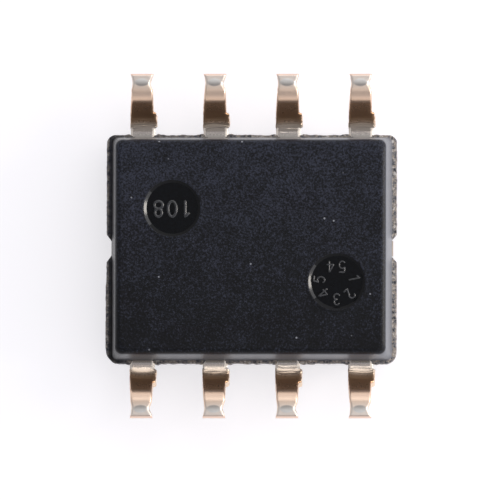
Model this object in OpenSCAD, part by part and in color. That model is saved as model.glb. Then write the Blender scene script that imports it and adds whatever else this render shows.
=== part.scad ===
// Eight-lead small-outline chip with gull-wing leads, 1.27 mm pitch.
// It lies on its marking face, seating side up: the marking face is z = 0 and the soles
// of the leads face +Z. X runs along the two rows of leads, Y from one row to the other.
// The origin is the middle of the marking face.

/* [Moulded body] */
// Length of the moulding along the rows of leads
body_l = 4.9; // [4.75:0.05:5.2]
// Width of the moulding between the rows of leads
body_w = 3.9; // [3.8:0.05:4.3]
// Height of the moulding from the leads to the marking face
cover_h = 0.65; // [0.6:0.05:0.9]
// Height of the moulding from the leads to the underside
base_h = 0.6; // [0.5:0.05:0.8]
// Draft of the side walls, degrees
draft = 9.4; // [4:0.2:11]
// Radius of the upright corners
corner_r = 0.1; // [0.06:0.01:0.16]
// Radius of the edges round the two flat faces
edge_r = 0.07; // [0.04:0.01:0.1]

/* [Parting flange] */
// How far the flange stands out at the short ends
flange_end = 0.08; // [0.05:0.005:0.12]
// How far the flange stands out along the long sides
flange_side = 0.045; // [0.02:0.005:0.08]
// Length of the floor of the notch that the tie bar leaves in the flange
notch_l = 0.28; // [0.24:0.01:0.4]
// How much further the notch opens on each side at the flange's edge
notch_flare = 0.1; // [0.04:0.01:0.14]
// Radius of the notch's corners
notch_r = 0.02; // [0.01:0.005:0.024]

/* [Recesses in the faces] */
// Diameter of the two ejector-pin recesses in the underside
pin_recess_d = 0.985; // [0.7:0.005:1.1]
// Depth of the ejector-pin recesses
pin_recess_depth = 0.04; // [0.02:0.005:0.08]
// Centre of the first recess from its short end
recess_a_end = 1.07; // [0.8:0.01:1.3]
// Centre of the first recess from its long side
recess_a_side = 1.29; // [0.8:0.01:1.5]
// Centre of the second recess from its short end
recess_b_end = 0.96; // [0.8:0.01:1.3]
// Centre of the second recess from its long side
recess_b_side = 1.33; // [0.8:0.01:1.5]
// Diameter of the first-lead dimple in the marking face
dimple_d = 0.5; // [0.3:0.05:0.7]
// Depth of the first-lead dimple
dimple_depth = 0.05; // [0.02:0.01:0.1]
// Centre of the dimple from the short end and from the long side
dimple_inset = 0.7; // [0.5:0.05:1]

/* [Leads] */
// Distance between neighbouring leads
pitch = 1.27; // [1.2:0.01:1.3]
// Thickness of the leadframe strip
strip_t = 0.2; // [0.15:0.01:0.25]
// Width of a lead through its riser
lead_w = 0.395; // [0.33:0.005:0.42]
// Width of a lead beside the moulding, with the stubs of the dam bar
stub_w = 0.475; // [0.44:0.005:0.55]
// How far the wide part reaches from the moulding
stub_reach = 0.39; // [0.3:0.01:0.45]
// Shoulder between the moulding and the first bend's corner
shoulder_l = 0.35; // [0.3:0.01:0.4]
// Lean of the riser from the vertical, degrees
riser_lean = 24; // [15:1:35]
// Length of the foot from the second bend's corner to the toe
foot_l = 0.366; // [0.3:0.001:0.7]
// Radius of the first bend at the middle of the strip
shoulder_r = 0.36; // [0.3:0.01:0.38]
// Radius of the second bend at the middle of the strip
heel_r = 0.175; // [0.14:0.005:0.2]
// Height of the soles above the underside of the moulding
standoff = 0.15; // [0.1:0.01:0.25]
// Length of the waist behind the toe
waist_l = 0.22; // [0.12:0.01:0.26]
// Depth of the waist on each edge
waist_depth = 0.03; // [0.01:0.005:0.05]
// Distance from the toe to the waist
waist_from_toe = 0.05; // [0.03:0.01:0.08]

/* [Inside the moulding] */
// Length of the silicon die
die_l = 1.5; // [1:0.05:1.7]
// Width of the silicon die
die_w = 1.1; // [0.8:0.05:1.3]
// Thickness of the silicon die
die_t = 0.25; // [0.15:0.01:0.3]
// Thickness of the adhesive film under the die
attach_t = 0.03; // [0.02:0.005:0.05]
// How far the adhesive squeezes out round the die
attach_fillet = 0.05; // [0.02:0.01:0.1]
// Rim of the paddle round the adhesive
paddle_rim = 0.25; // [0.15:0.01:0.35]
// Depth at which the paddle sits below the leads' level
downset = 0.15; // [0.1:0.01:0.2]
// Slope of the bend that sets the paddle down, degrees
downset_slope = 45; // [30:5:60]
// Width of the tie bars
tie_w = 0.26; // [0.2:0.01:0.28]
// Clear gap between the paddle or its tie bars and the leads' fingers
finger_gap = 0.2; // [0.15:0.01:0.25]
// Width of the bonding land on an inner lead
land_w = 0.62; // [0.5:0.01:0.7]
// Length of the bonding land on every lead
land_l = 0.3; // [0.25:0.01:0.4]
// Diameter of the bond wires
wire_d = 0.025; // [0.02:0.001:0.04]
// Rise of a wire's loop above the line between its bonds
loop_rise = 0.16; // [0.1:0.01:0.2]
// Distance between neighbouring bond pads on the die
pad_pitch = 0.36; // [0.2:0.01:0.4]
// Distance of the bonds from the edge of what they sit on
bond_inset = 0.1; // [0.06:0.01:0.12]

/* [Hidden] */
$fn = 48;
arc_steps = 6;                                   // straight steps in a quarter turn or a bend
skin = 0.002;                                    // thickness of the slices of the moulding
underside_z = cover_h + strip_t + base_h;
sole_z = underside_z + standoff;
riser_angle = 90 - riser_lean;
riser_rise = base_h + standoff;                  // from the shoulder's mid-plane to the foot's
riser_run = riser_rise / tan(riser_angle);
shoulder_y = body_w / 2 + shoulder_l;
heel_y = shoulder_y + riser_run;
toe_y = heel_y + foot_l;
paddle_l = die_l + 2 * (attach_fillet + paddle_rim);
paddle_w = die_w + 2 * (attach_fillet + paddle_rim);
paddle_z = cover_h + downset;                    // the paddle's face that carries the die
die_face_z = paddle_z - attach_t - die_t;        // the die's face with the circuit
downset_bend_r = strip_t / 2 + 0.05;
downset_run = downset / tan(downset_slope);
downset_x = paddle_l / 2 + 0.25;                 // corner of the bend nearer the die
bond_h = 1.2 * wire_d;                           // a bond is squashed to this height
bond_d = 2.6 * wire_d;
land_y = [tie_w / 2 + finger_gap, paddle_w / 2 + finger_gap]; // ends of an outer and an inner finger

leads_a_side = 4;
lead_numbers = [1 : 2 * leads_a_side];
// Column of a lead from the middle of its row, in pitches, and the side that it stands on.
function column(i) = i <= leads_a_side ? i - (leads_a_side + 1) / 2 : (3 * leads_a_side + 1) / 2 - i;
function side(i) = i <= leads_a_side ? 1 : -1;
function is_outer(i) = abs(column(i)) > 1;

// Points along an arc of a circle, from one angle to another.
function arc(centre, r, from, to) =
    [for (k = [0 : arc_steps]) let (a = from + (to - from) * k / arc_steps) centre + r * [cos(a), sin(a)]];

// Outline of a rectangle with rounded corners, centred on the origin.
function rounded_rect(l, w, r) =
    [for (q = [0 : 3]) let (c = [(q == 0 || q == 3 ? 1 : -1) * (l / 2 - r), (q < 2 ? 1 : -1) * (w / 2 - r)])
        each arc(c, r, 90 * q, 90 * q + 90)];

// Side view of a flat strip that climbs from level 0 to level rise on a slope: it is straight
// from start to the corner at low and from the corner at high to end, and r1 and r2 are the
// radii of the lower and the upper bend at the middle of the strip.
function cranked_strip(start, low, high, end, rise, slope, t, r1, r2) =
    let (c1 = [low - r1 * tan(slope / 2), r1], c2 = [high + r2 * tan(slope / 2), rise - r2])
    concat(
        [[start, -t / 2]],
        arc(c1, r1 + t / 2, -90, slope - 90),
        arc(c2, r2 - t / 2, slope + 90, 90),
        [[end, rise - t / 2], [end, rise + t / 2]],
        arc(c2, r2 + t / 2, 90, slope + 90),
        arc(c1, r1 - t / 2, slope - 90, -90),
        [[start, t / 2]]
    );

// ---- Moulding ----

// One thin slice of the moulding, set in from its outline at the leads.
module slice(z, inset) {
    translate([0, 0, z]) linear_extrude(skin)
        polygon(rounded_rect(body_l - 2 * inset, body_w - 2 * inset, corner_r));
}

// Slices that give a drafted wall of height h its rounded edge, from the face (level 0) up.
function edge_slices(h) =
    [for (a = [0 : 30 : 90]) let (z = edge_r * (1 - cos(a)))
        [z, (h - z) * tan(draft) + edge_r * (1 - sin(a))]];

// Solid moulding: drafted both ways from the level of the leads.
module drafted_block() {
    hull() {
        for (s = edge_slices(cover_h)) slice(s[0], s[1]);
        slice(cover_h, 0);
        slice(cover_h + strip_t - skin, 0);
        for (s = edge_slices(base_h)) slice(underside_z - skin - s[0], s[1]);
    }
}

// Plan of a notch from its floor at x = 0 outwards: its sides flare at the same rate all the way.
module notch_plan() {
    polygon([for (p = [[0, -1], [2, -1], [2, 1], [0, 1]])
        [p[0] * flange_end, p[1] * (notch_l / 2 + p[0] * notch_flare)]]);
}

// Flange as thick as the leadframe, where the compound filled the window in the frame
// outside the cavity. A notch at each short end shows where the tie bar stood.
module parting_flange() {
    $fn = 16;
    translate([0, 0, cover_h]) linear_extrude(strip_t)
        offset(r = notch_r) offset(delta = -2 * notch_r) offset(r = notch_r) difference() {
            polygon(rounded_rect(body_l + 2 * flange_end, body_w + 2 * flange_side, corner_r));
            for (end = [0, 1]) mirror([end, 0]) translate([body_l / 2, 0]) notch_plan();
        }
}

// Recess of an ejector pin, with a wall at 45 degrees.
module pin_recess(x, y) {
    translate([x, y, underside_z - pin_recess_depth])
        cylinder(d1 = pin_recess_d - 2 * pin_recess_depth, d2 = pin_recess_d + 2 * pin_recess_depth,
            h = 2 * pin_recess_depth);
}

module first_lead_dimple() {
    translate([-body_l / 2 + dimple_inset, body_w / 2 - dimple_inset, -dimple_depth])
        cylinder(d = dimple_d, h = 2 * dimple_depth);
}

module mould_body() {
    color("#2b2c31") difference() {
        union() {
            drafted_block();
            parting_flange();
        }
        pin_recess(-body_l / 2 + recess_a_end, body_w / 2 - recess_a_side);
        pin_recess(body_l / 2 - recess_b_end, -body_w / 2 + recess_b_side);
        first_lead_dimple();
        for (i = lead_numbers) {
            lead(i);
            bond_wire(i);
        }
        die_paddle();
        die_attach();
        silicon_die();
    }
}

// ---- Leads ----

// Moves what is drawn for the first quarter, at +X and +Y, to the place of lead i.
module at_lead(i) {
    mirror([column(i) < 0 ? 1 : 0, 0, 0]) mirror([0, side(i) < 0 ? 1 : 0, 0]) children();
}

// Plan of the part of a lead outside the moulding and of its neck, centred on x = 0.
module lead_plan(neck_y) {
    waist_y = toe_y - waist_from_toe - waist_l / 2;
    waist_r = (pow(waist_l / 2, 2) + pow(waist_depth, 2)) / (2 * waist_depth);
    step_y = body_w / 2 + stub_reach;
    difference() {
        union() {
            translate([-lead_w / 2, neck_y]) square([lead_w, toe_y - neck_y]);
            translate([-stub_w / 2, body_w / 2]) square([stub_w, step_y - body_w / 2]);
        }
        for (edge = [-1, 1]) translate([edge * (lead_w / 2 - waist_depth + waist_r), waist_y])
            circle(r = waist_r);
    }
}

// Plan of the land that the wire is bonded to, at the inner end of a lead in column x.
module land_plan(x, outer) {
    if (outer)
        translate([paddle_l / 2 + finger_gap, land_y[0]])
            square([x + lead_w / 2 - paddle_l / 2 - finger_gap, land_l]);
    else
        translate([x - land_w / 2, land_y[1]]) square([land_w, land_l]);
}

module lead(i) {
    x = abs(column(i)) * pitch;
    inner_y = land_y[is_outer(i) ? 0 : 1];
    color("#c8b494") at_lead(i) intersection() {
        translate([0, 0, cover_h + strip_t / 2]) rotate([90, 0, 90]) linear_extrude(body_l)
            polygon(cranked_strip(inner_y, shoulder_y, heel_y, toe_y, riser_rise, riser_angle,
                strip_t, shoulder_r, heel_r));
        linear_extrude(sole_z) {
            translate([x, 0]) lead_plan(inner_y);
            land_plan(x, is_outer(i));
        }
    }
}

// ---- Die paddle, die and wires ----

// The paddle and both tie bars in one strip, drawn from each end past the middle.
module die_paddle() {
    color("#b98a5e") intersection() {
        for (end = [0, 1]) mirror([end, 0, 0])
            translate([body_l / 2, 0, cover_h + strip_t / 2]) mirror([1, 0, 0])
                rotate([90, 0, 0]) linear_extrude(paddle_w, center = true)
                    polygon(cranked_strip(0, body_l / 2 - downset_x - downset_run, body_l / 2 - downset_x,
                        body_l / 2 + paddle_l / 4, downset, downset_slope, strip_t, downset_bend_r,
                        downset_bend_r));
        linear_extrude(underside_z) {
            square([paddle_l, paddle_w], center = true);
            square([body_l, tie_w], center = true);
        }
    }
}

module die_attach() {
    size = [die_l + 2 * attach_fillet, die_w + 2 * attach_fillet, attach_t];
    color("#9a9ca0") translate([-size[0] / 2, -size[1] / 2, paddle_z - attach_t]) cube(size);
}

module silicon_die() {
    color("#5a6578") translate([-die_l / 2, -die_w / 2, die_face_z]) cube([die_l, die_w, die_t]);
}

// A gold wire: a disc bonded to the die, an arc towards the marking face, and a disc bonded
// to the land of lead i.
module bond_wire(i) {
    outer = is_outer(i);
    x = abs(column(i)) * pitch;
    pad = [abs(column(i)) * pad_pitch, die_w / 2 - bond_inset, die_face_z];
    land = [outer ? paddle_l / 2 + finger_gap + bond_inset : x, land_y[outer ? 0 : 1] + bond_inset, cover_h];
    span = norm([land[0] - pad[0], land[1] - pad[1]]);
    chord = norm([span, land[2] - pad[2]]);
    loop_r = (pow(chord / 2, 2) + pow(loop_rise, 2)) / (2 * loop_rise);
    half_arc = asin(chord / 2 / loop_r);
    color("#d9a93b") at_lead(i) {
        for (bond = [pad, land]) translate(bond - [0, 0, bond_h]) cylinder(d = bond_d, h = bond_h);
        translate(pad - [0, 0, bond_h / 2]) rotate(atan2(land[1] - pad[1], land[0] - pad[0]))
            mirror([0, 0, 1]) rotate([90, 0, 0]) rotate(atan2(pad[2] - land[2], span))
                translate([chord / 2, loop_rise - loop_r]) rotate(90 - half_arc)
                    rotate_extrude(angle = 2 * half_arc) translate([loop_r, 0]) circle(d = wire_d);
    }
}

// ---- Nodes ----

mould_body();
die_paddle();
die_attach();
silicon_die();
for (i = lead_numbers) lead(i);
for (i = lead_numbers) bond_wire(i);
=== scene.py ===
"""Looks of an eight-lead small-outline memory chip that lies on its marking face, leads up.

Every length below is in millimetres, and MM turns it into the frame's metres. X runs along the
two rows of leads, Y from one row to the other, and the soles of the leads face +Z.
"""
import math
from types import SimpleNamespace

import bmesh
import bpy
import numpy as np
from mathutils import Matrix, Vector


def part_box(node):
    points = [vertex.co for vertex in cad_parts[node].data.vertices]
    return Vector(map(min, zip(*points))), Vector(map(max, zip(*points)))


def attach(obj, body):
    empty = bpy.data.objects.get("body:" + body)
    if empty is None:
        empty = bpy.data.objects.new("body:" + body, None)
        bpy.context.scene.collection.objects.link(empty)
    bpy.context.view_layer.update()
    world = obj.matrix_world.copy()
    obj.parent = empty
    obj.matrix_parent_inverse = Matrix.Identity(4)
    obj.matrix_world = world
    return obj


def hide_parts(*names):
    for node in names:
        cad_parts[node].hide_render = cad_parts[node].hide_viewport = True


MM = 0.001

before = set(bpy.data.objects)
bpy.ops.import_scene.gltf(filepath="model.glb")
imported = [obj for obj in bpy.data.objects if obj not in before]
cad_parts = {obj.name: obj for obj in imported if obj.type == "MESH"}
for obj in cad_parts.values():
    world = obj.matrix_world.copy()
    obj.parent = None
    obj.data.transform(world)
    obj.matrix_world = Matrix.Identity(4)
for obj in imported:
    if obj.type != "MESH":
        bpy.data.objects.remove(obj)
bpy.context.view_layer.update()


def box_mm(name):
    """Lowest and highest corner of a CAD node, in millimetres."""
    low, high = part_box(name)
    return np.array(low) / MM, np.array(high) / MM


# ---- Sizes that the solids have ----
BODY_L, BODY_W = 4.9, 3.9          # moulding at the level of the leads
STRIP_T = 0.2                      # leadframe strip
COVER_H = 0.65                     # from the marking face to the strip
DRAFT = math.tan(math.radians(9.4))
CORNER_R = 0.1                     # the moulding's upright corners at the level of the leads
NOTCH_L, NOTCH_FLARE = 0.28, 0.1   # the flange's notches, where the tie bars were sheared
PIN_D, PIN_DEPTH = 0.985, 0.04     # ejector-pin recesses
PIN_A = np.array([-BODY_L / 2 + 1.07, BODY_W / 2 - 1.29])
PIN_B = np.array([BODY_L / 2 - 0.96, -BODY_W / 2 + 1.33])
DIMPLE_D, DIMPLE_DEPTH = 0.5, 0.05
DIMPLE_INSET = 0.7                 # of its middle, from the two walls beside the first lead
COLUMNS = np.array([-1.905, -0.635, 0.635, 1.905])    # the leads' places along X
NECK_HALF = 0.1975                 # half-width of a lead where the moulding grips it
LAND_HALF, LAND_L = 0.31, 0.3      # bonding land of an inner lead: half-width, and every land's length
LAND_EDGE = 1.25                   # the lands of the outer leads reach in to this X

body_high = box_mm("mould_body")[1]
UNDERSIDE = body_high[2]
FLANGE_END = body_high[0] - BODY_L / 2
FLANGE_SIDE = body_high[1] - BODY_W / 2
SOLE_Z = box_mm("lead_1")[1][2]

# ---- Sizes that this one chip has, where they differ from the solids' ----
EDGE_R = 0.09                      # the edges round the moulding's two faces
BODY_X, BODY_Y = -0.022, -0.016    # the cavities stood this far off the strip's middle,
BASE_SHIFT = (0.008, 0.006)        # and the underside's half stands this far off the other one
DRAFT_EASE = 0.015                 # the long walls lean in by this much less than the short ones
FILM = 0.003                       # the flange is this much thinner than the strip, on each face
RIM_H = 0.002                      # burr round the ejector-pin recesses
MORE_SIDES = 0.007                 # the flange's long sides stand out this much further,
MORE_FAR, MORE_NEAR = 0.008, 0.014    # and so do its end at +X and a stretch of its end at -X
NEAR_STRETCH = (0.45, 2.1, 0.3)    # that stretch along -Y: start, end and width of its fading ends
BROKEN_W, WORN_W = 0.16, 0.14      # reach of the damage at the corners at -X, -Y and at +X, -Y
FLASH_AT, FLASH_W, FLASH = 0.26, 0.035, 0.022    # resin squeezed out on both sides of each lead
TEAR = ((0.006, 0.07), (0.005, 0.025))    # height and step of the two ripples of the torn edge
STUB_REACH = 0.385                 # from the moulding's side to the end of the dam bar's stubs
# Mid-line of a lead: slopes in degrees of the gentle start of the rise, of the riser and of the
# foot, the radius of the heel, and for the row at +Y (1) and the row at -Y (-1) the distance from
# the chip's middle at which the rise starts, with the radii of its gentle start and first bend.
EASE, SLOPE, FOOT_SLOPE = 12.0, 66.0, 2.0
HEEL_R = 0.135
FORM = {1: (2.03, 0.7, 0.28), -1: (2.005, 0.9, 0.268)}


# ---- Tools for meshes ----

def ripple(t, step, seed, smooth=True):
    """Random heights between -1 and 1 at lattice points a step apart, joined by a smooth curve
    (3f^2 - 2f^3 between neighbours) or by straight lines, and read at t."""
    heights = np.random.default_rng(seed).uniform(-1, 1, 4096)
    cell = np.floor(t / step).astype(int)
    share = t / step - cell
    if smooth:
        share = share * share * (3 - 2 * share)
    return heights[cell % 4096] * (1 - share) + heights[(cell + 1) % 4096] * share


def step_up(x, start, end):
    """0 before start, 1 after end, and 3f^2 - 2f^3 of the share f between them."""
    f = np.clip((x - start) / (end - start), 0, 1)
    return f * f * (3 - 2 * f)


def window(x, start, end, edge):
    """1 between start and end, 0 outside, with smooth edges of the given width inside them."""
    return step_up(x, start, start + edge) * (1 - step_up(x, end - edge, end))


def bell(x, centre, width):
    """e to the power of -((x - centre) / width)^2."""
    return np.exp(-(((x - centre) / width) ** 2))


def loft(name, rings):
    """Closed skin over rings of points, an array of ring x point x 3 in millimetres: quads from
    each ring to the next and one flat polygon over each end, turned to face outwards."""
    rows, columns = rings.shape[:2]
    at = np.arange(rows * columns).reshape(rows, columns)
    a, b = at[:-1], at[1:]
    quads = np.stack([a, np.roll(a, -1, 1), np.roll(b, -1, 1), b], -1).reshape(-1, 4)
    ends = [at[0, ::-1].tolist(), at[-1].tolist()]
    mesh = bpy.data.meshes.new(name)
    mesh.from_pydata(rings.reshape(-1, 3) * MM, [], quads.tolist() + ends)
    face_out(mesh)
    return mesh


def face_out(mesh, merge=0.0):
    """Merges points closer than merge and turns every face of a closed mesh outwards."""
    work = bmesh.new()
    work.from_mesh(mesh)
    if merge:
        bmesh.ops.remove_doubles(work, verts=work.verts, dist=merge)
    bmesh.ops.recalc_face_normals(work, faces=work.faces)
    if work.calc_volume(signed=True) < 0:
        bmesh.ops.reverse_faces(work, faces=work.faces)
    work.to_mesh(mesh)
    work.free()


def shown(name, content):
    """Object at the origin that holds a mesh, a lamp or a camera."""
    made = bpy.data.objects.new(name, content)
    bpy.context.scene.collection.objects.link(made)
    return made


def combine(target, meshes, operation):
    """Cuts each mesh from the target object or joins it on, with a solid Boolean, for good."""
    for mesh in meshes:
        tool = shown("tool", mesh)
        change = target.modifiers.new("combine", "BOOLEAN")
        change.operation, change.solver, change.object = operation, "MANIFOLD", tool
        bpy.context.view_layer.update()
        graph = bpy.context.evaluated_depsgraph_get()
        result = bpy.data.meshes.new_from_object(target.evaluated_get(graph))
        target.modifiers.clear()
        bpy.data.objects.remove(tool)
        if not result.polygons:
            raise RuntimeError(f"{operation} of {mesh.name} left nothing")
        target.data = result


def round_over(mesh, degrees):
    """Smooth shading, with an edge kept sharp where its faces differ by more than the angle, and
    level faces left flat, because long thin ones among them would carry streaks."""
    mesh.set_sharp_from_angle(angle=math.radians(degrees))
    lie = np.empty(len(mesh.polygons) * 3, np.float32)
    mesh.polygons.foreach_get("normal", lie)
    mesh.polygons.foreach_set("use_smooth", np.abs(lie[2::3]) < 0.99999)


# ---- Tools for materials ----

def srgb(code):
    """Linear colour of an sRGB hex value."""
    parts = [int(code[k : k + 2], 16) / 255 for k in (1, 3, 5)]
    return [c / 12.92 if c <= 0.04045 else ((c + 0.055) / 1.055) ** 2.4 for c in parts] + [1.0]


def grain(size):
    """Scale of a pattern whose features are size millimetres across."""
    return 1 / (size * MM)


def feed(tree, node, sockets):
    """Gives a node's inputs their values. Another node given as a value joins its first output."""
    for key, value in sockets.items():
        if isinstance(value, bpy.types.Node):
            value = next(output for output in value.outputs if output.enabled)
        if isinstance(value, bpy.types.NodeSocket):
            tree.links.new(value, node.inputs[key])
        else:
            node.inputs[key].default_value = value


def add(tree, kind, sockets=None, stops=(), points=(), **settings):
    """Adds a node with its settings, feeds its inputs, and sets a ramp's (place, sRGB hex) stops
    or a curve's (place, value) points."""
    made = tree.nodes.new(kind)
    for key, value in settings.items():
        setattr(made, key, value)
    feed(tree, made, sockets or {})
    if stops:
        elements = made.color_ramp.elements
        while len(elements) < len(stops):
            elements.new(0.5)
        for element, (place, code) in zip(elements, stops):
            element.position, element.color = place, srgb(code)
    if points:
        curve = made.mapping.curves[0].points
        for place, value in points[1:-1]:
            curve.new(place, value)
        curve[0].location, curve[-1].location = points[0], points[-1]
        made.mapping.update()
    return made


def start_material(name):
    """New material: its node tree, the object coordinates and the shader, joined to the output."""
    made = bpy.data.materials.new(name)
    made.use_nodes = True
    tree = made.node_tree
    tree.nodes.clear()
    place = add(tree, "ShaderNodeTexCoord").outputs["Object"]
    shader = add(tree, "ShaderNodeBsdfPrincipled")
    add(tree, "ShaderNodeOutputMaterial", {"Surface": shader})
    return made, tree, place, shader


def mottled(name, size, grit, stops, values):
    """Material whose tone runs through the stops in a mottle of the given size and grit, with the
    mottle as a faint relief too. The values are the shader's constants."""
    made, tree, place, shader = start_material(name)
    cloud = add(tree, "ShaderNodeTexNoise",
                {"Vector": place, "Scale": grain(size), "Detail": 3.0, "Roughness": grit})
    tone = add(tree, "ShaderNodeValToRGB", {"Fac": cloud}, stops=stops)
    bump = add(tree, "ShaderNodeBump", {"Height": cloud, "Strength": 0.3, "Distance": 0.002 * MM})
    feed(tree, shader, {"Base Color": tone, "Normal": bump, **values})
    return made


# ---- Materials ----

def eroded_tone(tree, cloud, place, where):
    """Tone of the spark-eroded faces: a fine mottle that drifts slowly, with a painted light
    fall-off that makes it a little paler towards +Y, where the key lamp stands."""
    drift = add(tree, "ShaderNodeTexNoise", {"Vector": place, "Scale": grain(0.4), "Detail": 2.0})
    # Painted light fall-off: the tone grows a little paler towards +Y, where the key lamp stands.
    paler = add(tree, "ShaderNodeMapRange",
                {"Value": where.outputs["Y"], "From Min": -BODY_W / 2 * MM,
                 "From Max": BODY_W / 2 * MM, "To Min": -0.12, "To Max": 0.0})
    slow = add(tree, "ShaderNodeMath", {0: drift, 1: 0.16, 2: paler}, operation="MULTIPLY_ADD")
    shade = add(tree, "ShaderNodeMath", {0: cloud, 1: slow}, operation="ADD")
    return add(tree, "ShaderNodeValToRGB", {"Fac": shade},
               stops=[(0.36, "#020204"), (0.51, "#0b0c12"), (0.67, "#303340")])


def silica_grains(tree, place):
    """Where a bright grain of silica shows: a dot in one of about 15 cells 0.16 mm across."""
    cells = add(tree, "ShaderNodeTexVoronoi",
                {"Vector": place, "Scale": grain(0.16), "Randomness": 1.0})
    dot = add(tree, "ShaderNodeMapRange", {"Value": cells.outputs["Distance"], "From Min": 0.07,
                                           "From Max": 0.13, "To Min": 1.0, "To Max": 0.0})
    draw = add(tree, "ShaderNodeSeparateColor", {"Color": cells.outputs["Color"]})
    rare = add(tree, "ShaderNodeMapRange",
               {"Value": draw.outputs["Red"], "From Min": 0.92, "From Max": 0.95})
    return add(tree, "ShaderNodeMath", {0: dot, 1: rare}, operation="MULTIPLY")


def torn_resin(tree, place, where, ahead):
    """Where resin was torn at the flange, and its crumbly tone. It is bared over the flange's height
    and wherever the ends stand out furthest, and more and more from -X to +X, which is painted
    light: the lamp at +X lights the flange and the moulding shades it at -X."""
    low = add(tree, "ShaderNodeMath", {0: where.outputs["Z"], 1: (COVER_H - FILM) * MM},
              operation="GREATER_THAN")
    high = add(tree, "ShaderNodeMath", {0: where.outputs["Z"], 1: (COVER_H + STRIP_T + FILM) * MM},
               operation="LESS_THAN")
    band = add(tree, "ShaderNodeMath", {0: low, 1: high}, operation="MULTIPLY")
    # Its share grows from -X to +X: painted light, for the flange is lit from +X and lies in the
    # moulding's shade at -X.
    # The greys of this ramp stand for shares.
    torn_and_painted_light = add(tree, "ShaderNodeValToRGB", {"Fac": ahead},
                  stops=[(0.0, "#4a4a4a"), (0.06, "#bdbdbd"), (1.0, "#ffffff")])
    across = add(tree, "ShaderNodeMath", {0: where.outputs["X"], 1: -BODY_X * MM}, operation="ADD")
    aside = add(tree, "ShaderNodeMath", {0: across}, operation="ABSOLUTE")
    frayed = add(tree, "ShaderNodeMapRange",
                 {"Value": aside, "From Min": (BODY_L / 2 + 0.02) * MM,
                  "From Max": (BODY_L / 2 + 0.06) * MM, "To Min": 0.0, "To Max": 0.8})
    bare = add(tree, "ShaderNodeMath", {0: torn_and_painted_light, 1: frayed}, operation="MAXIMUM")
    crumb = add(tree, "ShaderNodeTexNoise",
                {"Vector": place, "Scale": grain(0.055), "Detail": 3.0, "Roughness": 0.75})
    tone = add(tree, "ShaderNodeValToRGB", {"Fac": crumb},
               stops=[(0.38, "#2c2c30"), (0.47, "#7f7f84"), (0.55, "#948676"), (0.63, "#c3c0be")])
    return add(tree, "ShaderNodeMath", {0: band, 1: bare}, operation="MULTIPLY"), tone


def mould_compound():
    """Epoxy mould compound off a spark-eroded cavity: black resin full of ground silica. The eye
    sees a dull charcoal with a fine mottle, a soft sheen and single bright grains of silica. The
    walls came off a ground part of the cavity; their grey is a painted reflection of the lit
    table, black at -X and paler towards +X."""
    made, tree, place, shader = start_material("epoxy_mould_compound_eroded")
    where = add(tree, "ShaderNodeSeparateXYZ", {"Vector": place})
    ahead = add(tree, "ShaderNodeMapRange", {"Value": where.outputs["X"],
                                             "From Min": -BODY_L / 2 * MM, "From Max": BODY_L / 2 * MM})
    cloud = add(tree, "ShaderNodeTexNoise",
                {"Vector": place, "Scale": grain(0.034), "Detail": 3.0, "Roughness": 0.85})
    lie = add(tree, "ShaderNodeSeparateXYZ", {"Vector": place.node.outputs["Normal"]})
    flat = add(tree, "ShaderNodeMath", {0: lie.outputs["Z"]}, operation="ABSOLUTE")
    upright = add(tree, "ShaderNodeMapRange", {"Value": flat, "From Min": 0.3, "From Max": 0.6,
                                               "To Min": 1.0, "To Max": 0.0})
    # Painted reflection on the walls: a grey that is black at -X and paler towards +X, where the side
    # lamp lights the table that they mirror.
    painted_wall_sheen = add(tree, "ShaderNodeValToRGB", {"Fac": ahead},
                   stops=[(0.0, "#06070a"), (0.06, "#464950"), (0.5, "#53565e"), (0.96, "#5d6069"),
                          (1.0, "#777a82")])
    torn, torn_tone = torn_resin(tree, place, where, ahead)
    tone = eroded_tone(tree, cloud, place, where)
    for share, other in ((upright, painted_wall_sheen), (torn, torn_tone),
                         (silica_grains(tree, place), srgb("#8a8c93"))):
        tone = add(tree, "ShaderNodeMix", {"Factor": share, "A": tone, "B": other}, data_type="RGBA")
    # The walls are smoother than the faces, and they shine more, but for a stretch at -X.
    polished = add(tree, "ShaderNodeMapRange",
                   {"Value": ahead, "From Max": 0.05, "To Min": 0.15, "To Max": 0.55})
    rough, gleam = (add(tree, "ShaderNodeMapRange", {"Value": flat, "From Min": 0.3, "From Max": 0.95,
                                                     "To Min": wall, "To Max": face})
                    for wall, face in ((0.3, 0.5), (polished, 0.2)))
    fine = add(tree, "ShaderNodeTexNoise",
               {"Vector": place, "Scale": grain(0.035), "Detail": 3.0, "Roughness": 0.6})
    pits = add(tree, "ShaderNodeBump", {"Height": cloud, "Strength": 0.5, "Distance": 0.006 * MM})
    bump = add(tree, "ShaderNodeBump", {"Height": fine, "Strength": 0.6, "Distance": 0.005 * MM,
                                        "Normal": pits})
    feed(tree, shader, {"Base Color": tone, "Roughness": rough, "Specular IOR Level": gleam,
                        "Normal": bump})
    return made


def pin_face(name, code_low, code_high, rough, gleam):
    """The same compound where a ground steel ejector pin shaped it: its floor is smooth and looks
    blacker than the eroded skin, its rim gleams, and the marks cut in the pin come out paler."""
    return mottled(name, 0.05, 0.7, [(0.35, code_low), (0.65, code_high)],
                   {"Roughness": rough, "Specular IOR Level": gleam})


READ_L = 1.5    # stretch of a lead, from the toe, that the plating's ramp and curves are read over


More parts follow.
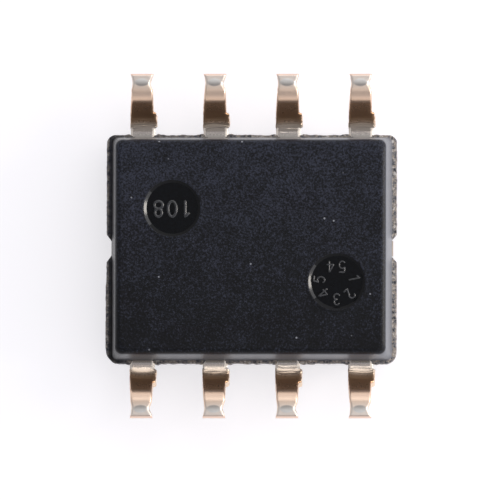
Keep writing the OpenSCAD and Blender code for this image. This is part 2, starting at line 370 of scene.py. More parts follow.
def plated_strip():
    """Rolled copper-alloy leadframe with a matt nickel and palladium plating: a warm cream metal,
    with bare copper at the cut toe. Its tone along the lead is painted reflection and shade:
    browner from the heel up the riser, which mirrors the black moulding, and paler, then greyer,
    over the first bend and the shoulder. The places in its ramp and curves are millimetres from the toe."""
    made, tree, place, shader = start_material("plated_copper_alloy_strip")
    along, rubbed, sheared, dragged, freed = (
        add(tree, "ShaderNodeAttribute", attribute_name=label).outputs["Fac"]
        for label in ("along", "rubbed", "sheared", "dragged", "freed"))
    stain = add(tree, "ShaderNodeTexNoise",
                {"Vector": place, "Scale": grain(0.05), "Detail": 3.0, "Roughness": 0.65})
    shift = add(tree, "ShaderNodeMapRange", {"Value": stain, "To Min": -0.02, "To Max": 0.02})
    reach = add(tree, "ShaderNodeMath", {0: along, 1: shift}, operation="ADD")
    share = add(tree, "ShaderNodeMath", {0: reach, 1: READ_L}, operation="DIVIDE")
    # Painted reflection and shade: brown where the riser mirrors the black moulding, paler then greyer
    # over the first bend and the shoulder.
    tone = add(tree, "ShaderNodeValToRGB", {"Fac": share}, stops=[(mm / READ_L, code) for mm, code in (
        (0.0, "#f0d2c0"), (0.03, "#f1dacb"), (0.05, "#ece0d6"), (0.15, "#efe3d8"), (0.28, "#ebd2be"),
        (0.40, "#eccbb2"), (0.465, "#cfa482"), (0.80, "#c29a78"), (0.97, "#b79577"), (1.10, "#b9997d"),
        (1.22, "#cdb9a6"), (1.32, "#ecdccd"), (1.40, "#dad0c8"), (1.44, "#b3ada7"), (1.50, "#aaa49f"))])
    # On top of it lie the spot rubbed grey, a painted shade over the first bend of the row at +Y
    # and the shoulder of the row at -Y, bare metal on the sheared edges and a painted highlight
    # along the edges of the neck.
    grey = add(tree, "ShaderNodeValToRGB", {"Fac": along},
               stops=[(0.09, "#eeebe7"), (0.14, "#d6d2cd"), (0.19, "#aba5a0")])
    for mask, other in ((rubbed, grey), (dragged, srgb("#8d8377")), (sheared, srgb("#f0dcc8")),
                        (freed, srgb("#fbf1e6"))):
        tone = add(tree, "ShaderNodeMix", {"Factor": mask, "A": tone, "B": other}, data_type="RGBA")
    # The forming die burnished the riser and both bends, and the foot and the shoulder stayed matt.
    matt = add(tree, "ShaderNodeFloatCurve", {"Value": share}, points=[(mm / READ_L, v) for mm, v in (
        (0.0, 0.37), (0.30, 0.36), (0.50, 0.30), (1.10, 0.30), (1.20, 0.2), (1.33, 0.14), (1.40, 0.17),
        (1.44, 0.3), (1.50, 0.36))])
    mottle = add(tree, "ShaderNodeMapRange", {"Value": stain, "From Min": 0.3, "From Max": 0.7,
                                              "To Min": -0.05, "To Max": 0.05})
    polish = add(tree, "ShaderNodeMath", {0: matt, 1: mottle}, operation="ADD")
    rough = add(tree, "ShaderNodeMath", {0: sheared, 1: 0.22, 2: polish}, operation="MULTIPLY_ADD")
    # A film of oxide dulls the pressed stretches, most of all the first bend.
    clean = add(tree, "ShaderNodeFloatCurve", {"Value": share}, points=[(mm / READ_L, v) for mm, v in (
        (0.0, 0.95), (0.45, 0.91), (0.92, 0.91), (1.02, 0.72), (1.22, 0.74), (1.32, 0.92), (1.50, 0.92))])
    # The painted highlight along the neck's edges is made mostly not metallic, so that its pale colour
    # shows plainly.
    bright = add(tree, "ShaderNodeMath", {0: freed, 1: -0.8, 2: clean}, operation="MULTIPLY_ADD")
    lines = add(tree, "ShaderNodeMapping", {"Vector": place, "Scale": (1.0, 0.12, 0.12)})
    rolled = add(tree, "ShaderNodeTexNoise", {"Vector": lines, "Scale": grain(0.02), "Detail": 2.0})
    bump = add(tree, "ShaderNodeBump", {"Height": rolled, "Strength": 0.35, "Distance": 0.002 * MM})
    feed(tree, shader, {"Base Color": tone, "Roughness": rough, "Metallic": bright, "Normal": bump})
    return made


def inner_finish(name, code_low, code_high, size, metallic, rough):
    """Finish of a piece that lies inside the moulding: two close tones in a mottle."""
    return mottled(name, size, 0.5, [(0.3, code_low), (0.7, code_high)],
                   {"Metallic": metallic, "Roughness": rough})


COMPOUND, STRIP = mould_compound(), plated_strip()
PIN_FLOOR = pin_face("epoxy_mould_compound_pin_floor", "#010103", "#05070c", 0.3, 0.16)
PIN_RIM = pin_face("epoxy_mould_compound_pin_rim", "#040406", "#0b0c10", 0.25, 0.18)
# A painted highlight: a paler, shinier finish for the recess wall on its side that faces the side lamp at
# +X.
PIN_PAINTED_HIGHLIGHT = pin_face("epoxy_mould_compound_pin_rim_painted_highlight", "#0a0a0d", "#17181c", 0.2, 0.6)
PIN_MARK = pin_face("epoxy_mould_compound_pin_mark", "#0b0b0e", "#27282d", 0.25, 0.8)

# ---- Moulding ----

def outline_frame():
    """Where each point of a rounded rectangle's outline stands: its place on the square from -1 to
    1 that the corner centres span, and the unit normal there. Points lie about 0.02 mm apart."""
    ends = np.linspace(-1, 1, 190)
    sides = np.linspace(-1, 1, 240)
    turn = np.linspace(0, np.pi / 2, 9)[1:-1]
    place, normal = [], []
    for q, run in enumerate([ends, sides, ends, sides]):
        c, s = math.cos(q * math.pi / 2), math.sin(q * math.pi / 2)
        place += [np.stack([c - s * run, s + c * run], -1),
                  np.tile([round(c - s), round(s + c)], (len(turn), 1))]
        normal += [np.tile([c, s], (len(run), 1)),
                   np.stack([np.cos(turn + q * np.pi / 2), np.sin(turn + q * np.pi / 2)], -1)]
    return np.concatenate(place), np.concatenate(normal)


SQUARE, NORMAL = outline_frame()
ON_END = np.abs(NORMAL[:, 0]) > 0.999
ON_SIDE = np.abs(NORMAL[:, 1]) > 0.999


def outline(length, width, radius):
    """Rounded rectangle: each corner's centre plus the radius along the normal."""
    half = np.array([length / 2 - radius, width / 2 - radius])
    return SQUARE * half + radius * NORMAL + [BODY_X, BODY_Y]


def wall_rings(height, rise, start):
    """Rings of one half of the moulding, from its face, at z = start, to the flange; rise is 1 or
    -1. At z over the face the outline is set in by (height - z) x tan(draft), plus r(1 - sin a)
    round the edge, where z is r(1 - cos a). One more ring lies in the face itself."""
    turn = np.linspace(0, np.pi / 2, 7)
    z = EDGE_R * (1 - np.cos(turn))
    inset = (height - z) * DRAFT + EDGE_R * (1 - np.sin(turn))
    z = np.concatenate([[0.0], z, np.linspace(EDGE_R, height, 5)[1:]])
    inset = np.concatenate([[inset[0] + 0.03], inset, (height - z[8:]) * DRAFT])
    rings = []
    for up, back in zip(z, inset):
        ease = 2 * DRAFT_EASE * min(1, back / 0.05)
        ring = outline(BODY_L - 2 * back, BODY_W - 2 * back + ease, CORNER_R + 0.45 * back)
        rings.append(np.column_stack([ring, np.full(len(ring), start + rise * up)]))
    rings = np.array(rings)
    rings[:, :, :2] += (rise < 0) * np.array(BASE_SHIFT)
    return rings


def flange_rings():
    """Rings round the parting flange. Each goes from the wall's outline out to the rim's by a
    share that drops in the notches and at the corner at -X, -Y, which broke off, and less at the
    corner at +X, -Y, which is worn. Two ripples tear the edge, and flash stands beside the leads."""
    wall = outline(BODY_L, BODY_W, CORNER_R)
    rim = outline(BODY_L + 2 * FLANGE_END, BODY_W + 2 * FLANGE_SIDE + 2 * MORE_SIDES, CORNER_R + 0.05)
    rim[:, 0] += MORE_FAR * step_up(NORMAL[:, 0], 0.0, 1.0)
    rim[:, 0] -= MORE_NEAR * step_up(-NORMAL[:, 0], 0.0, 1.0) * window(-rim[:, 1], *NEAR_STRETCH)
    broken = bell(np.linalg.norm(rim - rim.min(0), axis=1), 0, BROKEN_W)
    worn = bell(np.linalg.norm(rim - [rim[:, 0].max(), rim[:, 1].min()], axis=1), 0, WORN_W)
    notch = np.interp(np.abs(rim[:, 1]), [NOTCH_L / 2, NOTCH_L / 2 + NOTCH_FLARE], [1, 0])
    keep = 1 - 0.6 * (broken + 0.5 * worn) - ON_END * notch
    flash = ON_SIDE * FLASH * bell(np.abs(rim[:, :1] - COLUMNS), FLASH_AT, FLASH_W).sum(1)
    run = np.cumsum(np.linalg.norm(rim - np.roll(rim, 1, 0), axis=1))
    # Share of the flange's height at each ring, and how far its edge is tucked in there. The first
    # and the last ring lie in the flange's two faces, halfway back to the wall.
    heights = (0.0, 0.0, 0.1, 0.3, 0.5, 0.7, 0.9, 1.0, 1.0)
    tucks = (None, 0.03, 0.004, 0.0, 0.0, 0.0, 0.002, 0.012, None)
    (long_h, long_step), (short_h, short_step) = TEAR
    rings = []
    for k, (share, tuck) in enumerate(zip(heights, tucks)):
        if tuck is None:
            out = wall + (rim - wall) * keep[:, None] * 0.5
            reach = flash * (1 - abs(share - 0.6))
        else:
            out = wall + (rim - wall) * keep[:, None]
            torn = long_h * ripple(run + 0.01 * share, long_step, 11)
            torn += short_h * ripple(run, short_step, 30 + k, False)
            reach = torn * (0.6 + 0.6 * ON_SIDE) + flash * (1 - abs(share - 0.6)) - tuck
        out = out + NORMAL * (reach * (0.2 + 0.8 * keep))[:, None]
        z = COVER_H + FILM + share * (STRIP_T - 2 * FILM)
        rings.append(np.column_stack([out, np.full(len(out), z)]))
    return np.array(rings)


def moulding_skin():
    """Skin of the moulding from the marking face over the flange to the underside."""
    base = UNDERSIDE - COVER_H - STRIP_T
    return loft("moulding", np.concatenate([
        wall_rings(COVER_H, 1, 0.0), flange_rings(), wall_rings(base, -1, UNDERSIDE)[::-1]]))


AXIS_R = 1e-4    # a turned body starts this close to its axis, so that its ends are small polygons


def lathe(name, profile, centre, steps=96):
    """Turned body: the (radius, height) profile carried round an upright axis."""
    turn = np.linspace(0, 2 * np.pi, steps, endpoint=False)
    profile = np.array(profile)
    return loft(name, np.stack([centre[0] + profile[:, :1] * np.cos(turn),
                                centre[1] + profile[:, :1] * np.sin(turn),
                                np.repeat(profile[:, 1:], steps, 1)], -1))


def rim_profile():
    """Burr round an ejector-pin recess: a low bank, filled level inside, which the recess cuts."""
    bank = [(0.075, -0.02), (0.07, -0.0008), (0.045, 0.0022), (0.015, 0.003), (-0.03, RIM_H)]
    return [(AXIS_R, UNDERSIDE - 0.02), *[(PIN_D / 2 + out, UNDERSIDE + up) for out, up in bank],
            (AXIS_R, UNDERSIDE + RIM_H)]


def recess_profile():
    """Cutter of an ejector-pin recess: flat floor, a round at its foot, a wall that leans out by
    45 degrees and a rounded rim, then up clear of the face."""
    foot_r, rim_r, sin_45 = 0.01, 0.02, 0.707
    top, radius = UNDERSIDE + RIM_H, PIN_D / 2
    floor, clear = top - PIN_DEPTH, top + 0.05
    flat = radius - PIN_DEPTH - foot_r
    turn = np.radians(np.linspace(0, 45, 5))
    lower = np.column_stack([flat + foot_r * np.sin(turn), floor + foot_r * (1 - np.cos(turn))])
    turn = turn[::-1]
    upper = np.column_stack([radius + rim_r * (sin_45 - np.sin(turn)), top - rim_r * (1 - np.cos(turn))])
    mouth, edge = upper[-1]
    return np.concatenate([[(AXIS_R, floor), (flat, floor)], lower, upper[:-1],
                           [(mouth, edge - 0.0006), (mouth + 0.004, clear), (AXIS_R, clear)]])


def dimple_profile():
    """Cutter of the first-lead dimple: its floor is d(1 - f^4) deep at the share f of its radius."""
    dish = [(DIMPLE_D / 2 * f, DIMPLE_DEPTH * (1 - f**4)) for f in np.linspace(0, 1, 9)[1:]]
    return [(AXIS_R, DIMPLE_DEPTH), *dish, (DIMPLE_D / 2 + 0.01, -0.05), (AXIS_R, -0.05)]


def stroke(points, z, half_width, height):
    """Raised stroke of a mark: a rounded ridge carried along a line of points, narrowed to a
    third at both ends, with its foot sunk into the floor below it."""
    ahead = np.gradient(points, axis=0)
    ahead /= np.linalg.norm(ahead, axis=1)[:, None]
    sideways = np.column_stack([-ahead[:, 1], ahead[:, 0]])
    cap = half_width * 0.8
    first, last = points[0] - ahead[0] * cap, points[-1] + ahead[-1] * cap
    points = np.concatenate([[first], points, [last]])
    sideways = np.concatenate([sideways[:1], sideways, sideways[-1:]])
    scale = np.ones(len(points))
    scale[[0, -1]] = 0.33
    across = np.array([-1.0, -1.0, -0.8, -0.4, 0.0, 0.4, 0.8, 1.0, 1.0]) * half_width
    up = np.array([-0.5, 0.0, 0.55, 0.92, 1.0, 0.92, 0.55, 0.0, -0.5]) * height
    flat = points[:, None] + sideways[:, None] * (across * scale[:, None])[..., None]
    level = z + np.where(up < 0, up, up * np.maximum(scale, 0.4)[:, None])
    return loft("stroke", np.concatenate([flat, level[..., None]], -1))


def bent(*corners):
    """Points about 0.1 apart along straight lines from corner to corner."""
    corners = np.array(corners, float)
    parts = [corners[:1]]
    for a, b in zip(corners[:-1], corners[1:]):
        count = max(2, int(np.linalg.norm(b - a) / 0.1))
        parts.append(a + (b - a) * np.linspace(0, 1, count + 1)[1:, None])
    return np.concatenate(parts)


def curved(centre, radius_x, radius_y, start, end):
    """18 points along an arc of an ellipse, in degrees."""
    turn = np.radians(np.linspace(start, end, 18))
    return np.column_stack([centre[0] + radius_x * np.cos(turn), centre[1] + radius_y * np.sin(turn)])


STRAIGHTS = {"1": [[(-0.18, 0.28), (0.05, 0.5), (0.05, -0.5)]],
             "2": [[(-0.27, -0.5), (0.27, -0.5)]],
             "4": [[(0.12, -0.5), (0.12, 0.5), (-0.28, -0.2), (0.3, -0.2)]],
             "5": [[(0.25, 0.5), (-0.2, 0.5), (-0.24, 0.06)]]}
ROUNDS = {"0": [((0, 0), 0.27, 0.5, 90, 450)],
          "2": [((0, 0.23), 0.26, 0.27, 160, -60)],
          "3": [((0, 0.24), 0.24, 0.26, 150, -90), ((0, -0.24), 0.28, 0.26, 90, -150)],
          "5": [((-0.02, -0.17), 0.28, 0.33, 130, -140)],
          "8": [((0, 0.25), 0.22, 0.25, -90, 270), ((0, -0.25), 0.27, 0.25, 90, 450)]}


def figure(digit):
    """Strokes of a figure 1 high and about 0.6 wide, centred on the origin."""
    lines = [bent(*corners) for corners in STRAIGHTS.get(digit, [])]
    lines += [curved(*form) for form in ROUNDS.get(digit, [])]
    if digit == "2":
        lines = [np.concatenate([lines[1], lines[0][1:]])]
    return lines


def cavity_marks():
    """Plain numbers that a mould maker leaves in the pin faces, all read from +Y: a cavity number
    in one, and in the other a dial of single figures round the lower half with a number above.
    Each row below is the pin, the figure, its place from the middle, its turn and its height."""
    placed = [(PIN_A, digit, (0.24 - 0.24 * k, -0.01), 180, 0.27) for k, digit in enumerate("108")]
    placed += [(PIN_B, digit, (0.09 - 0.2 * k, 0.26), 180, 0.19) for k, digit in enumerate("54")]
    for digit, angle in zip("12345", (11, -42, -90, -138, -187)):
        a = math.radians(angle)
        placed.append((PIN_B, digit, (0.31 * math.cos(a), 0.31 * math.sin(a)), angle - 90, 0.19))
    strokes = []
    for centre, digit, offset, turned, tall in placed:
        c, s = math.cos(math.radians(turned)), math.sin(math.radians(turned))
        for line in figure(digit):
            points = line * tall @ np.array([[c, s], [-s, c]]) + centre + offset
            strokes.append(stroke(points, UNDERSIDE + RIM_H - PIN_DEPTH, 0.108 * tall, 0.024))
    return strokes


def inner_bed(name):
    """Merged copy of a CAD node, as a tool that cuts its own bed into the moulding. Faces flush
    with the moulding's ends are carried 0.2 mm further, so that no film stays over them."""
    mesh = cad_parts[name].data.copy()
    face_out(mesh, 1e-7)
    points = np.empty(len(mesh.vertices) * 3, np.float32)
    mesh.vertices.foreach_get("co", points)
    points = points.reshape(-1, 3)
    flush = np.abs(np.abs(points[:, 0]) - BODY_L / 2 * MM) < 1e-6
    points[flush, 0] += np.sign(points[flush, 0]) * 0.2 * MM
    mesh.vertices.foreach_set("co", points.ravel())
    mesh.update()
    return mesh


def skin_moulding(mesh):
    """Gives each face of the moulding its material: inside a pin's recess the floor, the marks
    that stand over it, and the wall, with a painted highlight on its side that faces +X, towards the side
    lamp."""
    centres = np.empty(len(mesh.polygons) * 3, np.float32)
    mesh.polygons.foreach_get("center", centres)
    centres = centres.reshape(-1, 3) / MM
    to_pins = [centres[:, :2] - pin for pin in (PIN_A, PIN_B)]
    away = [np.linalg.norm(to_pin, axis=1) for to_pin in to_pins]
    from_pin = np.minimum(*away)
    below = UNDERSIDE + RIM_H - centres[:, 2]
    sunk = (from_pin < PIN_D / 2) & (below > 0.001) & (below < PIN_DEPTH + 0.001)
    floor = sunk & (below > PIN_DEPTH - 0.001)
    wall = sunk & (from_pin > PIN_D / 2 - PIN_DEPTH - 0.015)
    outward = np.where(away[0][:, None] < PIN_D, *to_pins)
    # Painted highlight: the part of the wall that faces +X, towards the side lamp.
    bright = wall & (outward[:, 0] < -0.78 * np.linalg.norm(outward, axis=1))
    mesh.materials.clear()
    for finish in (COMPOUND, PIN_FLOOR, PIN_RIM, PIN_MARK, PIN_PAINTED_HIGHLIGHT):
        mesh.materials.append(finish)
    skins = np.select([floor, bright, wall, sunk], [1, 4, 2, 3], 0)
    mesh.polygons.foreach_set("material_index", skins.astype(np.int32))


# ---- Leads ----
# Half-widths of a lead outside the moulding, by the distance of its upper face from the chip's
# middle. "Left" is -X and "right" is +X for every lead, because one blade trims the whole strip.
LEFT_HALF = ((BODY_W / 2, 2.15, 2.3, 2.56), (0.222, 0.24, 0.228, 0.185))
RIGHT_HALF = ((BODY_W / 2, 2.3, 2.56), (0.18, 0.178, 0.187))
WAIST_AT, WAIST_W = 0.17, 0.08     # waist of the foot, from the toe
WAIST_LEFT, WAIST_RIGHT = 0.012, 0.042
FLARE_W, FLARE_LEFT, FLARE_RIGHT = 0.04, 0.015, 0.01    # spread of the toe's end
STUB_TOP, STUB_LOW = 0.048, 0.055  # the dam bar's stub stands out this far, above and below
LOW_R, LIP_R = 0.016, 0.045        # rounding of the lower edges and of the toe's upper edge
RIDGES, RIDGE_AT, RIDGE_STEP = 8, 2.05, 0.032    # the first bend's ridges, from the chip's middle
RIDGE_H, RIDGE_W = 0.006, 0.009
CURL = 0.016                       # of the first bend's edges, inwards
SPOT_AT, SPOT_HALF = 0.15, (0.135, 0.075)    # rubbed spot of the foot, from the toe, and half-axes
SPOT_H = 0.0015
SECTION_STEP = 0.0085              # between sections outside the moulding


def lead_path(start, toe, form, steps=6000):
    """Mid-line of a lead: its slope is 0, climbs evenly to EASE along an arc of ease_r and on to
    SLOPE along an arc of bend_r, holds on the riser, falls evenly to FOOT_SLOPE along an arc of
    HEEL_R and holds to the toe; y and z are the running sums of its cos and sin. The riser is as
    long as the rest of the rise asks. Returns the distance along it, y, z and the slope."""
    ease, steep, foot = (math.radians(v) for v in (EASE, SLOPE, FOOT_SLOPE))
    rise_y, ease_r, bend_r = form
    bends = ((0, ease, ease_r), (ease, steep, bend_r), (steep, foot, HEEL_R))
    over = sum(r * abs(math.sin(b) - math.sin(a)) for a, b, r in bends)
    rise = sum(r * abs(math.cos(b) - math.cos(a)) for a, b, r in bends)
    flat = toe - rise_y - over
    riser = (SOLE_Z - COVER_H - STRIP_T - rise - flat * math.tan(foot)) / (
        math.sin(steep) - math.cos(steep) * math.tan(foot))
    foot_l = (flat - riser * math.cos(steep)) / math.cos(foot)
    knots = np.cumsum([0, rise_y - start, ease_r * ease, bend_r * (steep - ease), riser,
                       HEEL_R * (steep - foot), foot_l])
    s = np.linspace(0, knots[-1], steps)
    slope = np.interp(s, knots, [0, 0, ease, steep, steep, foot, foot])
    mean = (slope[1:] + slope[:-1]) / 2
    y = start + np.concatenate([[0], np.cumsum(np.cos(mean) * s[1])])
    z = COVER_H + STRIP_T / 2 + np.concatenate([[0], np.cumsum(np.sin(mean) * s[1])])
    return s, y, z, slope


def lead_stations(number):
    """Where a lead's sections stand: its row (1 at +Y, -1 at -Y), its place along X, the distance
    at which it leaves the moulding, and for each section the distance from the lead's inner end
    and from its toe, y and z of the mid-line, its tilt, and how far out the upper face is."""
    low, high = box_mm(f"lead_{number}")
    row = 1 if high[1] > 2 else -1
    inner, toe = (low[1], high[1]) if row > 0 else (-high[1], -low[1])
    s, y, z, slope = lead_path(inner, toe, FORM[row])
    length = s[-1]
    wall = BODY_W / 2 - inner
    # Sections stand in close pairs at the land's end, at the moulding and in the first bend.
    pairs = [place + gap for place in (LAND_L, wall, wall + 0.3) for gap in (-0.002, 0.002)]
    at = np.concatenate([[0, 0.01], np.linspace(0.02, wall - 0.06, 12),
                         np.arange(wall - 0.05, length - 0.06, SECTION_STEP),
                         length - 0.06 * (1 - np.linspace(0, 1, 14)[1:] ** 0.6), pairs])
    at = np.unique(np.round(np.clip(at, 0, length), 5))
    mid_y, mid_z, tilt = (np.interp(at, s, v) for v in (y, z, slope))
    return SimpleNamespace(
        number=number, row=row, column=COLUMNS[number - 1 if number < 5 else 8 - number], wall=wall,
        at=at, from_toe=length - at, y=mid_y, z=mid_z, tilt=tilt, out=mid_y - STRIP_T / 2 * np.sin(tilt))


def half_widths(lead, cut):
    """Half-widths of a lead: at its left, and at its right by the upper and by the lower face,
    where the dam bar's stub ends at cut, told from the chip's middle. The foot has a waist and a
    flared toe, and every edge waves. Returns the share of the neck in each section too."""
    at, out = lead.at, lead.out
    outside = step_up(at, lead.wall - 0.002, lead.wall + 0.002)
    neck = outside * (1 - step_up(out, 2.1, 2.13))
    stub = outside * (1 - step_up(out, cut - 0.006, cut + 0.006))
    out_low = lead.y + STRIP_T / 2 * np.sin(lead.tilt) - (0.02 if lead.row > 0 else 0.1)
    stub_low = outside * (1 - step_up(out_low, cut - 0.006, cut + 0.006))
    waist, flare = bell(lead.from_toe, WAIST_AT, WAIST_W), bell(lead.from_toe, 0, FLARE_W)
    waves = [0.003 * ripple(at, 0.05, seed + lead.number) for seed in (200, 300, 400, 500)]
    left, right = (np.where(at < lead.wall, NECK_HALF, np.interp(out, *half) + wave)
                   for half, wave in ((LEFT_HALF, waves[0]), (RIGHT_HALF, waves[1])))
    left = left - WAIST_LEFT * waist + FLARE_LEFT * flare
    right = right - WAIST_RIGHT * waist + FLARE_RIGHT * flare
    right_low = right + stub_low * (1 - neck) * (STUB_LOW + 2 * waves[2])
    right = right + stub * (1 - 0.5 * neck) * (STUB_TOP + 2 * waves[3])
    # The land inside: an outer lead's spreads only towards the chip's middle.
    towards, away = LAND_HALF, LAND_HALF
    if abs(lead.column) > 1:
        towards, away = abs(lead.column) - LAND_EDGE, NECK_HALF
    land_left, land_right = (towards, away) if lead.column > 0 else (away, towards)
    on_land = at < LAND_L
    return (np.where(on_land, land_left, left), np.where(on_land, land_right, right),
            np.where(on_land, land_right, right_low), neck)


def lead_section(lead, left, right, right_low):
    """Sections of a lead as two arrays, section x point: the way across from its middle line and
    the way up from its mid-line. Points run across the top, down the right, along the bottom and
    up the left. The upper edges are quarter ovals, widest and flattest at the shoulder, the lower
    ones quarter circles, and the toe is rounded by an arc. Returns the number of top points too."""
    soft = step_up(lead.at, lead.wall - 0.05, lead.wall) * (1 - step_up(lead.out, 2.02, 2.12))
    top_r = 0.03 + 0.02 * soft + 0.02 * bell(lead.from_toe, 0.16, 0.1)
    drop_r = (top_r * (1 - 0.5 * soft))[:, None]
    top_r = top_r[:, None]
    past = np.clip(LIP_R - lead.from_toe, 0, LIP_R)
    drop = np.minimum(LIP_R - np.sqrt(np.maximum(LIP_R**2 - past**2, 0)), 0.04)
    top = (STRIP_T / 2 - drop)[:, None]
    bottom = (-STRIP_T / 2 + drop * 0.3)[:, None]
    left, right, right_low = (half[:, None] for half in (left, right, right_low))
    turn = np.linspace(0, np.pi / 2, 7)
    back = turn[::-1]
    span = np.linspace(0, 1, 21)[1:-1]
    ledge = np.array([0.012, 0.03])        # points of the sides, this far below the rounding
    under = np.linspace(1, 0, 8)[1:-1]
    top_x = np.concatenate([-left + top_r * (1 - np.sin(back)),
                            -left + top_r + (left + right - 2 * top_r) * span,
                            right - top_r + top_r * np.sin(turn)], 1)
    top_z = np.concatenate([top - drop_r * (1 - np.cos(back)), top + 0 * span,
                            top - drop_r * (1 - np.cos(turn))], 1)
    right_x = np.concatenate([right_low + 0 * ledge, right_low - LOW_R * (1 - np.cos(turn[1:]))], 1)
    right_z = np.concatenate([top - drop_r - ledge, bottom + LOW_R * (1 - np.sin(turn[1:]))], 1)
    under_x = -left + LOW_R + (left + right_low - 2 * LOW_R) * under
    left_x = np.concatenate([-left + LOW_R * (1 - np.cos(back[:-1])), -left + 0 * ledge], 1)
    left_z = np.concatenate([bottom + LOW_R * (1 - np.sin(back[:-1])), top - drop_r - ledge[::-1]], 1)
    return (np.concatenate([top_x, right_x, under_x, left_x], 1),
            np.concatenate([top_z, right_z, bottom + 0 * under_x, left_z], 1), top_x.shape[1])


def forming_ridges(lead, across, rng):
    """Faint ridges that the punch left across the first bend, lower in the row at -Y: each is a
    bell round a line that ripples as it crosses the lead, with a height that ripples too."""
    ridges = np.zeros_like(across)
    for k in range(RIDGES):
        centre = RIDGE_AT + RIDGE_STEP * k + rng.uniform(-0.01, 0.01)
        line = centre + 0.012 * ripple(across + 5, 0.12, 600 + 10 * lead.number + k)
        height = rng.uniform(-RIDGE_H, RIDGE_H) * (1 if lead.row > 0 else 0.6)
        height *= min(1, 0.3 + 0.35 * k)
        ridges += height * bell(lead.out[:, None], line, RIDGE_W) * (
            0.6 + 0.4 * ripple(across + 5, 0.1, 700 + 10 * lead.number + k))
    return ridges


def lead_mesh(number):
    """One lead: a rounded section carried along the cranked mid-line, with the relief of its upper
    face, and what its material reads as attributes. The first bend's edges curl inwards by a share
    of the way across, squared. Returns it and the closed stretch of it that the moulding grips."""
    lead = lead_stations(number)
    rng = np.random.default_rng(100 + number)
    cut = BODY_W / 2 + STUB_REACH + rng.uniform(-0.008, 0.008)
    left, right, right_low, neck = half_widths(lead, cut)
    across, up, top_points = lead_section(lead, left, right, right_low)
    on_top = np.arange(across.shape[1]) < top_points
    upper = on_top * step_up(up, 0.0, 0.05)
    ridges = forming_ridges(lead, across, rng)
    # The rubbed spot is an oval a hair proud of the foot.
    spot_x = rng.uniform(-0.012, 0.012)
    oval = np.sqrt(((across - spot_x) / SPOT_HALF[0]) ** 2
                   + ((lead.from_toe[:, None] - SPOT_AT) / SPOT_HALF[1]) ** 2)
    up = up + upper * (ridges + SPOT_H * (1 - step_up(oval, 0.4, 1.1)))
    curl = -CURL * (across / NECK_HALF) ** 2 * window(lead.out, 2.0, 2.45, 0.2)[:, None]
    sin, cos = np.sin(lead.tilt)[:, None], np.cos(lead.tilt)[:, None]
    rings = np.stack([lead.column + across, lead.row * (lead.y[:, None] + curl - up * sin),
                      lead.z[:, None] + up * cos], -1)
    mesh = loft(f"lead_skin_{number}", rings)
    bed = loft(f"lead_bed_{number}", rings[lead.at < lead.wall + 0.1])
    # A painted highlight runs along both edges of the neck, and a painted shade lies over the
    # first bend of the row at +Y and over the shoulder of the row at -Y, where the moulding's wall
    # and the dim sky at -Y leave them dark.
    beside = np.maximum(step_up(across - right[:, None], -0.06, -0.045),
                        step_up(-across - left[:, None], -0.045, -0.03))
    if lead.row > 0:
        dragged = 0.5 * window(lead.from_toe, 1.17, 1.385, 0.03)
    else:
        dragged = 0.75 * step_up(lead.from_toe, 1.4, 1.43)
    marks = {"along": lead.from_toe[:, None], "rubbed": upper * (1 - step_up(oval, 0.72, 1.05)),
             "freed": upper * neck[:, None] * beside, "sheared": ~on_top, "dragged": dragged[:, None]}
    for label, values in marks.items():
        attribute = mesh.attributes.new(label, "FLOAT", "POINT")
        values = np.broadcast_to(values, across.shape).astype(np.float32)
        attribute.data.foreach_set("value", values.ravel())
    return mesh, bed


# ---- The chip's pieces ----
beds = []
for number in range(1, 9):
    skin, bed = lead_mesh(number)
    beds.append(bed)
    round_over(skin, 50)
    skin.materials.append(STRIP)
    piece = shown(f"formed_lead_{number}", skin)
    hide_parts(f"lead_{number}")
    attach(piece, "root")

inner_nodes = ["die_paddle", "die_attach", "silicon_die"] + [f"bond_wire_{i}" for i in range(1, 9)]
first_lead = (-BODY_L / 2 + DIMPLE_INSET, BODY_W / 2 - DIMPLE_INSET)
body = shown("moulding", moulding_skin())
combine(body, [lathe("rim", rim_profile(), pin) for pin in (PIN_A, PIN_B)], "UNION")
combine(body, [lathe("recess", recess_profile(), pin) for pin in (PIN_A, PIN_B)], "DIFFERENCE")
combine(body, [lathe("dimple", dimple_profile(), first_lead)], "DIFFERENCE")
combine(body, cavity_marks(), "UNION")
combine(body, beds + [inner_bed(name) for name in inner_nodes], "DIFFERENCE")
skin_moulding(body.data)
round_over(body.data, 35)
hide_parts("mould_body")
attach(body, "root")

finishes = {
    "die_paddle": inner_finish("plated_copper_alloy_paddle", "#c3b3a2", "#ddd0c3", 0.05, 1.0, 0.45),
    "die_attach": inner_finish("silver_filled_epoxy", "#8f9194", "#a6a8ab", 0.02, 0.6, 0.5),
    "silicon_die": inner_finish("polished_silicon", "#3d4450", "#525b69", 0.08, 0.4, 0.15),
}
gold = inner_finish("drawn_gold_wire", "#d9a441", "#e8bb5e", 0.03, 1.0, 0.2)
for name in inner_nodes:
    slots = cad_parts[name].data.materials
    slots.clear()
    slots.append(finishes.get(name, gold))

# ---- Table ----
TABLE_W = 400.0
GLOW = 0.61    # white added to the card for the camera and for reflections alone

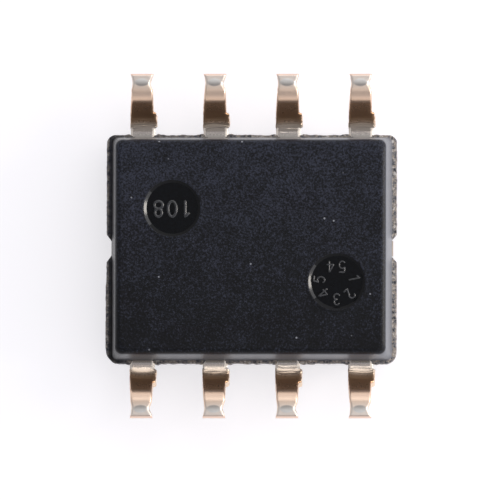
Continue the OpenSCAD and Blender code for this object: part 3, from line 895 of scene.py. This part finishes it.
corners = np.array([[-1, -1, 0], [1, -1, 0], [1, 1, 0], [-1, 1, 0]])
table_mesh = bpy.data.meshes.new("table")
table_mesh.from_pydata(corners * TABLE_W / 2 * MM, [], [[0, 1, 2, 3]])
table = shown("table", table_mesh)
card, tree, place, shader = start_material("white_matt_card")
path = add(tree, "ShaderNodeLightPath")
seen = add(tree, "ShaderNodeMath", {0: path.outputs["Is Camera Ray"], 1: path.outputs["Is Glossy Ray"]},
           operation="MAXIMUM")
glow = add(tree, "ShaderNodeMath", {0: seen, 1: GLOW}, operation="MULTIPLY")
feed(tree, shader, {"Base Color": srgb("#bebcc1"), "Roughness": 0.9, "Specular IOR Level": 0.1,
                    "Emission Color": (1.0, 0.99, 1.0, 1.0), "Emission Strength": glow})
table_mesh.materials.append(card)

# ---- Room and lamps ----
world = bpy.data.worlds.new("studio")
bpy.context.scene.world = world
world.use_nodes = True
sky = world.node_tree
sky.nodes.clear()
generated = add(sky, "ShaderNodeTexCoord").outputs["Generated"]
facing = add(sky, "ShaderNodeSeparateXYZ", {"Vector": generated})
# White walls up to about 30 degrees, a grey ceiling above them and the dark camera straight above.
ceiling = add(sky, "ShaderNodeValToRGB", {"Fac": facing.outputs["Z"]},
              stops=[(0.0, "#ffffff"), (0.45, "#fbfbff"), (0.75, "#bdbfc6"), (0.955, "#a8a9af"),
                     (0.985, "#a5a6ab")])
# The room is lighter towards +X than towards -X, and a little darker on the side of -Y.
end_light = add(sky, "ShaderNodeMapRange", {"Value": facing.outputs["X"], "From Min": -1.0,
                                            "To Min": 0.6, "To Max": 1.45})
side_light = add(sky, "ShaderNodeMapRange", {"Value": facing.outputs["Y"], "From Min": -0.6,
                                             "From Max": 0.2, "To Min": 0.85})
light = add(sky, "ShaderNodeMath", {0: end_light, 1: side_light}, operation="MULTIPLY")
air = add(sky, "ShaderNodeBackground", {"Color": ceiling, "Strength": light})
add(sky, "ShaderNodeOutputWorld", {"Surface": air})


def softbox(name, place, aim, width, height, radiance, colour):
    """Area lamp of the given size in millimetres, turned to its aim. Its power is
    radiance x pi x area."""
    lamp = bpy.data.lights.new(name, "AREA")
    lamp.shape, lamp.size, lamp.size_y = "RECTANGLE", width * MM, height * MM
    lamp.energy = radiance * math.pi * width * height * MM * MM
    lamp.color = srgb(colour)[:3]
    made = shown(name, lamp)
    made.location = Vector(place) * MM
    made.rotation_euler = (Vector(aim) - Vector(place)).to_track_quat("-Z", "Y").to_euler()
    made.visible_camera = False


softbox("key_softbox", (17, 25, 60), (0, 0, 1), 60, 45, 1.09, "#fffdf8")
softbox("side_softbox", (62, 4, 27), (0, 0, 1), 30, 24, 10.0, "#fff8ee")

# ---- Camera ----
VIEW_W = 8.694                     # width of what the camera sees at the soles
DISTANCE = 250.0
SENSOR_W = 36.0
LEAN_X, LEAN_Y = 2.30, 3.90        # degrees from straight above, towards +X and towards -Y
AIM = (-0.0145, -0.081, 1.6)

optics = bpy.data.cameras.new("camera")
optics.sensor_width = SENSOR_W
optics.lens = SENSOR_W * DISTANCE / VIEW_W
optics.clip_start, optics.clip_end = 0.01, 2.0
camera = shown("camera", optics)
back = Vector((math.tan(math.radians(LEAN_X)), -math.tan(math.radians(LEAN_Y)), 1.0)).normalized()
right = (Vector((1, 0, 0)) - back * back.x).normalized()    # the rows of leads run level across
turned = Matrix((right, back.cross(right), back)).transposed().to_4x4()
camera.matrix_world = Matrix.Translation((Vector(AIM) + back * DISTANCE) * MM) @ turned
bpy.context.scene.camera = camera
bpy.context.scene.view_settings.view_transform = "Standard"
